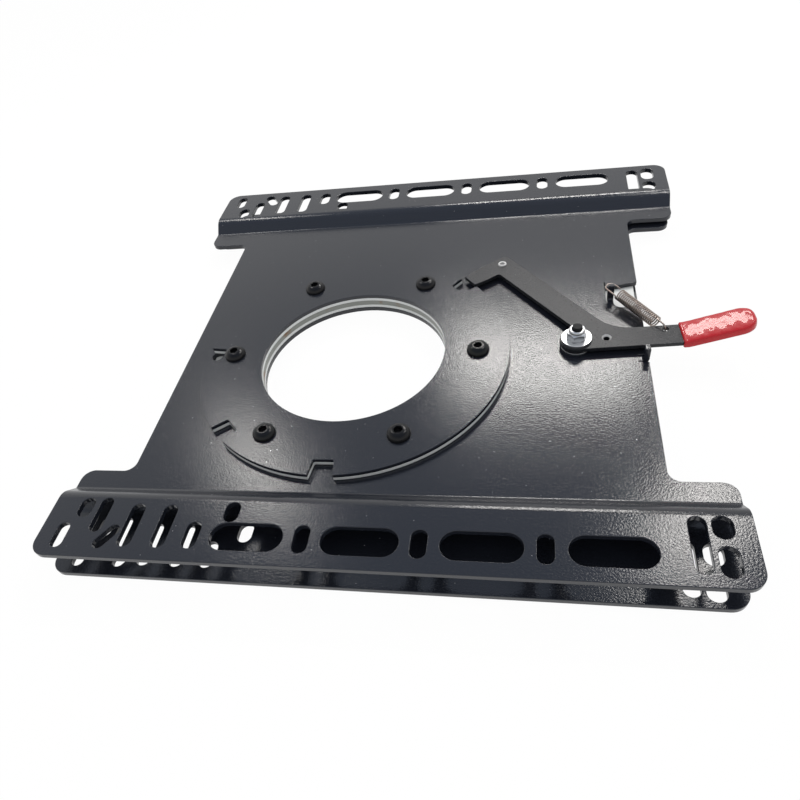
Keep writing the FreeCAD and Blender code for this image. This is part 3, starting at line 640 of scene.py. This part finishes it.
def grip_points():
    """Superellipse sections along the handle's bent line, narrowing at both ends.

    Across is half the width times a signed power of cos, and height is half the
    thickness times a signed power of sin; both are scaled by a superellipse of the
    distance from each end, and low waves and one dent shape the upper skin.
    """
    s = sizes()
    t = np.linspace(0, 1, s.grip_rings)
    u = GRIP_START + (GRIP_END - GRIP_START) * (0.5 * t + 0.25 - 0.25 * np.cos(math.pi * t))
    past = np.clip(u - HANDLE_BEND_AT, 0, None)
    line_u = np.minimum(u, HANDLE_BEND_AT) + past * math.cos(HANDLE_LIFT)
    line_w = HANDLE_MIDDLE + (np.sqrt(past ** 2 + 1.0) - 1.0) * math.sin(HANDLE_LIFT)
    lip = eased(np.clip((u - GRIP_START) / GRIP_LIP, 0, 1), 2.0)
    left = GRIP_END - u
    half_width = s.grip_width / 2 * (0.93 + 0.07 * lip)
    half_width *= eased(np.clip(left / GRIP_NOSE, 0, 1), 2.2)
    half_thick = s.grip_thickness / 2 * (0.6 + 0.4 * lip)
    half_thick *= eased(np.clip(left / GRIP_NOSE_THICKNESS, 0, 1), 2.0)
    a = np.linspace(0, 2 * math.pi, 72, endpoint=False)
    across = np.sign(np.cos(a)) * np.abs(np.cos(a)) ** 0.42
    height = np.sign(np.sin(a)) * np.abs(np.sin(a)) ** 0.42
    v = half_width[:, None] * across + HANDLE_OFFSET
    rise = half_thick[:, None] * height + grip_skin(u[:, None], v) * np.clip(height, 0, 1)
    slid = line_u[:, None] - rise * math.sin(HANDLE_LIFT) * (past > 0)[:, None]
    return handle_place(slid, v, line_w[:, None] + rise)


def grip_skin(u, v):
    """Height of the dipped skin: two products of sine waves, less one round dent."""
    wave = np.sin(u * 0.9) * np.sin(v * 0.7 + 1.0) * 0.06
    swell = np.sin(u * 0.37 + 2.0) * np.sin(v * 0.45) * 0.08
    dent = ((u - GRIP_DENT[0]) / 1.3) ** 2 + ((v - GRIP_DENT[1]) / 2.2) ** 2
    return wave + swell - 0.5 * np.exp(-dent)


def turned_points(profile, place, around=48):
    """Surface of revolution: (radius, height) pairs turned about an upright axis."""
    r, z = np.array(profile, dtype=float).T
    a = np.linspace(0, 2 * math.pi, around, endpoint=False)
    return np.stack([place[0] + r[:, None] * np.cos(a), place[1] + r[:, None] * np.sin(a),
                     np.repeat(z[:, None], around, axis=1)], axis=-1)


def stud_points(around=48, rows=97):
    """Stud: radius as a function of height, less a triangle wave that climbs with it."""
    s = sizes()
    flange = [STUD_FOOT, STUD_FOOT, STUD_FLANGE_TOP, STUD_FLANGE_TOP, THREAD_START - 0.1]
    z = np.concatenate([flange, np.linspace(THREAD_START, THREAD_END, rows)])[:, None]
    r = np.full_like(z, STUD_RADIUS)
    r[:3, 0] = 0.05, STUD_FLANGE_RADIUS, STUD_FLANGE_RADIUS
    r -= np.clip(z - (THREAD_END - STUD_CHAMFER), 0, STUD_CHAMFER)
    a = np.linspace(0, 2 * math.pi, around, endpoint=False)[None]
    phase = (z / s.thread_pitch - a / (2 * math.pi)) % 1.0
    groove = (1 - np.abs(phase * 2 - 1)) * s.thread_depth
    groove *= (z > THREAD_START) & (z < THREAD_END)
    radius = np.maximum(r - groove, 0.05)
    return np.stack([PIVOT[0] + radius * np.cos(a), PIVOT[1] + radius * np.sin(a),
                     np.repeat(z, around, axis=1)], axis=-1)


class SEATBASE_OT_plates(bpy.types.Operator):
    """Round the edges of both plates and coat them"""
    bl_idname = "seatbase.plates"
    bl_label = "Dress the plates"

    def execute(self, context):
        edge = sizes().plate_edge
        softened("lower_plate", "base", edge, powder_coat())
        softened("upper_plate", "turntable", edge, powder_coat())
        return {"FINISHED"}


class SEATBASE_OT_rings(bpy.types.Operator):
    """Dress the locking ring, slide rings, bearing ring and glide pads"""
    bl_idname = "seatbase.rings"
    bl_label = "Dress the rings"

    def execute(self, context):
        edge = sizes().ring_edge
        softened("locking_ring", "base", edge, powder_coat())
        softened("upper_slide_ring", "base", edge, nylon())
        softened("lower_slide_ring", "base", edge, nylon())
        softened("bearing_ring", "base", edge, bearing_steel())
        softened("glide_pad_front", "base", edge, nylon())
        softened("glide_pad_rear", "base", edge, nylon())
        return {"FINISHED"}


class SEATBASE_OT_bolts(bpy.types.Operator):
    """Dress the ring bolts and their nuts"""
    bl_idname = "seatbase.bolts"
    bl_label = "Dress the bolts"

    def execute(self, context):
        edge = sizes().small_edge
        for number in range(1, 7):
            softened("ring_bolt_%d" % number, "base", edge, black_oxide())
            softened("ring_nut_%d" % number, "base", edge, black_oxide())
        return {"FINISHED"}


class SEATBASE_OT_lever(bpy.types.Operator):
    """Dress the lever and its rivet"""
    bl_idname = "seatbase.lever"
    bl_label = "Dress the lever"

    def execute(self, context):
        lever = softened("lever", "latch_lever", sizes().ring_edge, lever_coat())
        place = handle_place(*SPARE_HOLE, 0.0)
        # The spare hole's sloping rim gets the light grey steel, a painted highlight for its
        # chamfer's reflection
        second_finish(lever.data, place, SPARE_HOLE_HIGHLIGHT_REACH, bare_steel_and_rim_highlight())
        low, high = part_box("latch_rivet")
        mesh = surface("tubular_rivet", turned_points(RIVET, (low + high) / 2 / MM))
        placed(mesh, "latch_lever", bare_steel_and_rim_highlight(), "latch_rivet")
        return {"FINISHED"}


class SEATBASE_OT_grip(bpy.types.Operator):
    """Shape the dipped grip"""
    bl_idname = "seatbase.grip"
    bl_label = "Shape the grip"

    def execute(self, context):
        mesh = surface("dipped_grip", grip_points())
        placed(mesh, "latch_lever", dipped_vinyl(), "lever_grip")
        return {"FINISHED"}


class SEATBASE_OT_pivot(bpy.types.Operator):
    """Dress the pivot's nut, washers and spacer, and cut the stud's thread"""
    bl_idname = "seatbase.pivot"
    bl_label = "Dress the pivot"

    def execute(self, context):
        edge = sizes().small_edge
        for name in ("pivot_nut", "pivot_washer", "pivot_lower_washer"):
            softened(name, "turntable", edge, zinc())
        softened("pivot_spacer", "turntable", edge, black_oxide())
        mesh = surface("threaded_stud", stud_points())
        placed(mesh, "turntable", stud_black(), "pivot_stud")
        return {"FINISHED"}


class SEATBASE_OT_spring(bpy.types.Operator):
    """Wind the return spring between the finger and the lever"""
    bl_idname = "seatbase.spring"
    bl_label = "Wind the spring"

    def execute(self, context):
        hole = handle_place(*SPRING_HOLE)
        axis = hole - FINGER_POINT
        length = np.linalg.norm(axis)
        axis = axis / length
        level = np.array([axis[1], -axis[0], 0.0])
        level /= np.linalg.norm(level)
        turn = np.stack([level, np.cross(axis, level), axis])
        line, outward = spring_line(length - FINGER_LEG - HOLE_LEG)
        points = swept_wire(line, outward, sizes().wire_diameter / 2) @ turn
        mesh = surface("wound_spring", points + FINGER_POINT + axis * FINGER_LEG)
        mesh.shade_smooth()
        mesh.materials.append(spring_steel())
        piece = bpy.data.objects.new("wound_spring", mesh)
        context.scene.collection.objects.link(piece)
        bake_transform(piece)
        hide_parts("return_spring")
        return {"FINISHED"}


def backdrop(name, shade, share=0.97):
    """Paper that shows nearly plain white to the camera and to mirrors."""
    material = bpy.data.materials.new(name)
    material.use_nodes = True
    tree = material.node_tree
    shader = fill(tree.nodes["Principled BSDF"], Base_Color=(shade, shade, shade, 1.0),
                  Roughness=1.0, Specular_IOR_Level=0.0)
    glow = put(tree, "ShaderNodeEmission", Strength=1.0)
    path = put(tree, "ShaderNodeLightPath")
    seen = put(tree, "ShaderNodeMath", operation="MAXIMUM")
    tree.links.new(path.outputs["Is Camera Ray"], seen.inputs[0])
    tree.links.new(path.outputs["Is Glossy Ray"], seen.inputs[1])
    part = put(tree, "ShaderNodeMath", operation="MULTIPLY")
    part.inputs[1].default_value = share
    tree.links.new(seen.outputs[0], part.inputs[0])
    mix = put(tree, "ShaderNodeMixShader")
    tree.links.new(part.outputs[0], mix.inputs[0])
    tree.links.new(shader.outputs[0], mix.inputs[1])
    tree.links.new(glow.outputs[0], mix.inputs[2])
    tree.links.new(mix.outputs[0], tree.nodes["Material Output"].inputs[0])
    return material


def room(level):
    """World: white to the camera and to glossy rays, dimmer to diffuse ones."""
    world = bpy.data.worlds.new("room")
    world.use_nodes = True
    tree = world.node_tree
    link = tree.links.new
    back = fill(tree.nodes["Background"], Color=(1.0, 1.0, 1.0, 1.0), Strength=level)
    white = put(tree, "ShaderNodeBackground", Color=(1.0, 1.0, 1.0, 1.0), Strength=1.0)
    path = put(tree, "ShaderNodeLightPath")
    most = put(tree, "ShaderNodeMath", operation="MAXIMUM")
    link(path.outputs["Is Camera Ray"], most.inputs[0])
    link(path.outputs["Is Transmission Ray"], most.inputs[1])
    mirror = put(tree, "ShaderNodeBackground", Strength=1.0)
    place = put(tree, "ShaderNodeTexCoord")
    split = put(tree, "ShaderNodeSeparateXYZ")
    link(place.outputs["Generated"], split.inputs[0])
    ramp = put(tree, "ShaderNodeValToRGB")
    ramp.color_ramp.elements[0].position = 0.50
    ramp.color_ramp.elements[0].color = (1.0, 1.0, 1.0, 1.0)
    ramp.color_ramp.elements[1].position = 0.86
    ramp.color_ramp.elements[1].color = (0.45, 0.52, 0.66, 1.0)
    link(split.outputs["Z"], ramp.inputs[0])
    link(ramp.outputs[0], mirror.inputs["Color"])
    first = put(tree, "ShaderNodeMixShader")
    link(path.outputs["Is Glossy Ray"], first.inputs[0])
    link(back.outputs[0], first.inputs[1])
    link(mirror.outputs[0], first.inputs[2])
    second = put(tree, "ShaderNodeMixShader")
    link(most.outputs[0], second.inputs[0])
    link(first.outputs[0], second.inputs[1])
    link(white.outputs[0], second.inputs[2])
    link(second.outputs[0], tree.nodes["World Output"].inputs[0])
    bpy.context.scene.world = world


def softbox(name, place, target, size, level):
    """Area lamp that faces a target; its power is pi times its area and brightness."""
    data = bpy.data.lights.new(name, "AREA")
    data.shape = "RECTANGLE"
    data.size, data.size_y = size
    data.energy = math.pi * size[0] * size[1] * level
    data.color = LAMP_TINT
    lamp = bpy.data.objects.new(name, data)
    lamp.location = place
    aim = Vector(target) - Vector(place)
    lamp.rotation_euler = aim.to_track_quat("-Z", "Y").to_euler()
    bpy.context.scene.collection.objects.link(lamp)
    return lamp


def floor():
    """Wide sheet of paper just under the lower plate's flanges."""
    far, z = FLOOR_REACH, FLOOR_HEIGHT
    mesh = bpy.data.meshes.new("floor")
    mesh.from_pydata([(-far, -far, z), (far, -far, z), (far, far, z), (-far, far, z)], [],
                     [(0, 1, 2, 3)])
    mesh.materials.append(backdrop("floor paper", 0.95))
    piece = bpy.data.objects.new("floor", mesh)
    bpy.context.scene.collection.objects.link(piece)


def camera():
    """Camera at its place, turned by its right, up and backward directions."""
    data = bpy.data.cameras.new("camera")
    data.lens, data.sensor_width = CAMERA_LENS, 36.0
    data.shift_x, data.shift_y = CAMERA_SHIFT
    right, forward = Vector(CAMERA_RIGHT), Vector(CAMERA_FORWARD)
    turn = Matrix((right, right.cross(forward), -forward)).transposed()
    piece = bpy.data.objects.new("camera", data)
    piece.matrix_world = Matrix.Translation(CAMERA_PLACE) @ turn.to_4x4()
    bpy.context.scene.collection.objects.link(piece)
    bpy.context.scene.camera = piece


class SEATBASE_OT_stage(bpy.types.Operator):
    """Floor, room, softboxes and camera"""
    bl_idname = "seatbase.stage"
    bl_label = "Set the stage"

    def execute(self, context):
        stage = context.scene.seat_stage
        floor()
        room(stage.room_level)
        softbox("window", (0.18, 0.925, 0.865), (0.15, 0.0, 0.0), (0.50, 0.10),
                stage.window_level)
        softbox("side window", (-0.56, 0.60, 0.95), (-0.1, -0.1, 0.0), (0.12, 0.26),
                stage.side_level)
        softbox("corner lamp", (0.54, 0.57, 1.04), (0.2, -0.1, 0.0), (0.13, 0.30),
                stage.corner_level)
        camera()
        context.scene.view_settings.view_transform = "Standard"
        return {"FINISHED"}


OPERATORS = (SEATBASE_OT_plates, SEATBASE_OT_rings, SEATBASE_OT_bolts, SEATBASE_OT_lever,
             SEATBASE_OT_grip, SEATBASE_OT_pivot, SEATBASE_OT_spring, SEATBASE_OT_stage)


class SEATBASE_PT_panel(bpy.types.Panel):
    """Steps that dress the seat base, in order"""
    bl_label = "Seat base"
    bl_idname = "SEATBASE_PT_panel"
    bl_space_type = "VIEW_3D"
    bl_region_type = "UI"
    bl_category = "Seat base"

    def draw(self, context):
        for operator in OPERATORS:
            self.layout.operator(operator.bl_idname)


GROUPS = (SeatSizes, SeatFinish, SeatStage)


def register():
    """Register the property groups, operators and panel."""
    for item in GROUPS + OPERATORS + (SEATBASE_PT_panel,):
        bpy.utils.register_class(item)
    bpy.types.Scene.seat_sizes = PointerProperty(type=SeatSizes)
    bpy.types.Scene.seat_finish = PointerProperty(type=SeatFinish)
    bpy.types.Scene.seat_stage = PointerProperty(type=SeatStage)


def unregister():
    """Remove the property groups, operators and panel."""
    del bpy.types.Scene.seat_sizes
    del bpy.types.Scene.seat_finish
    del bpy.types.Scene.seat_stage
    for item in reversed(GROUPS + OPERATORS + (SEATBASE_PT_panel,)):
        bpy.utils.unregister_class(item)


def main():
    register()
    bpy.ops.seatbase.plates()
    bpy.ops.seatbase.rings()
    bpy.ops.seatbase.bolts()
    bpy.ops.seatbase.lever()
    bpy.ops.seatbase.grip()
    bpy.ops.seatbase.pivot()
    bpy.ops.seatbase.spring()
    bpy.ops.seatbase.stage()


if __name__ == "__main__":
    main()
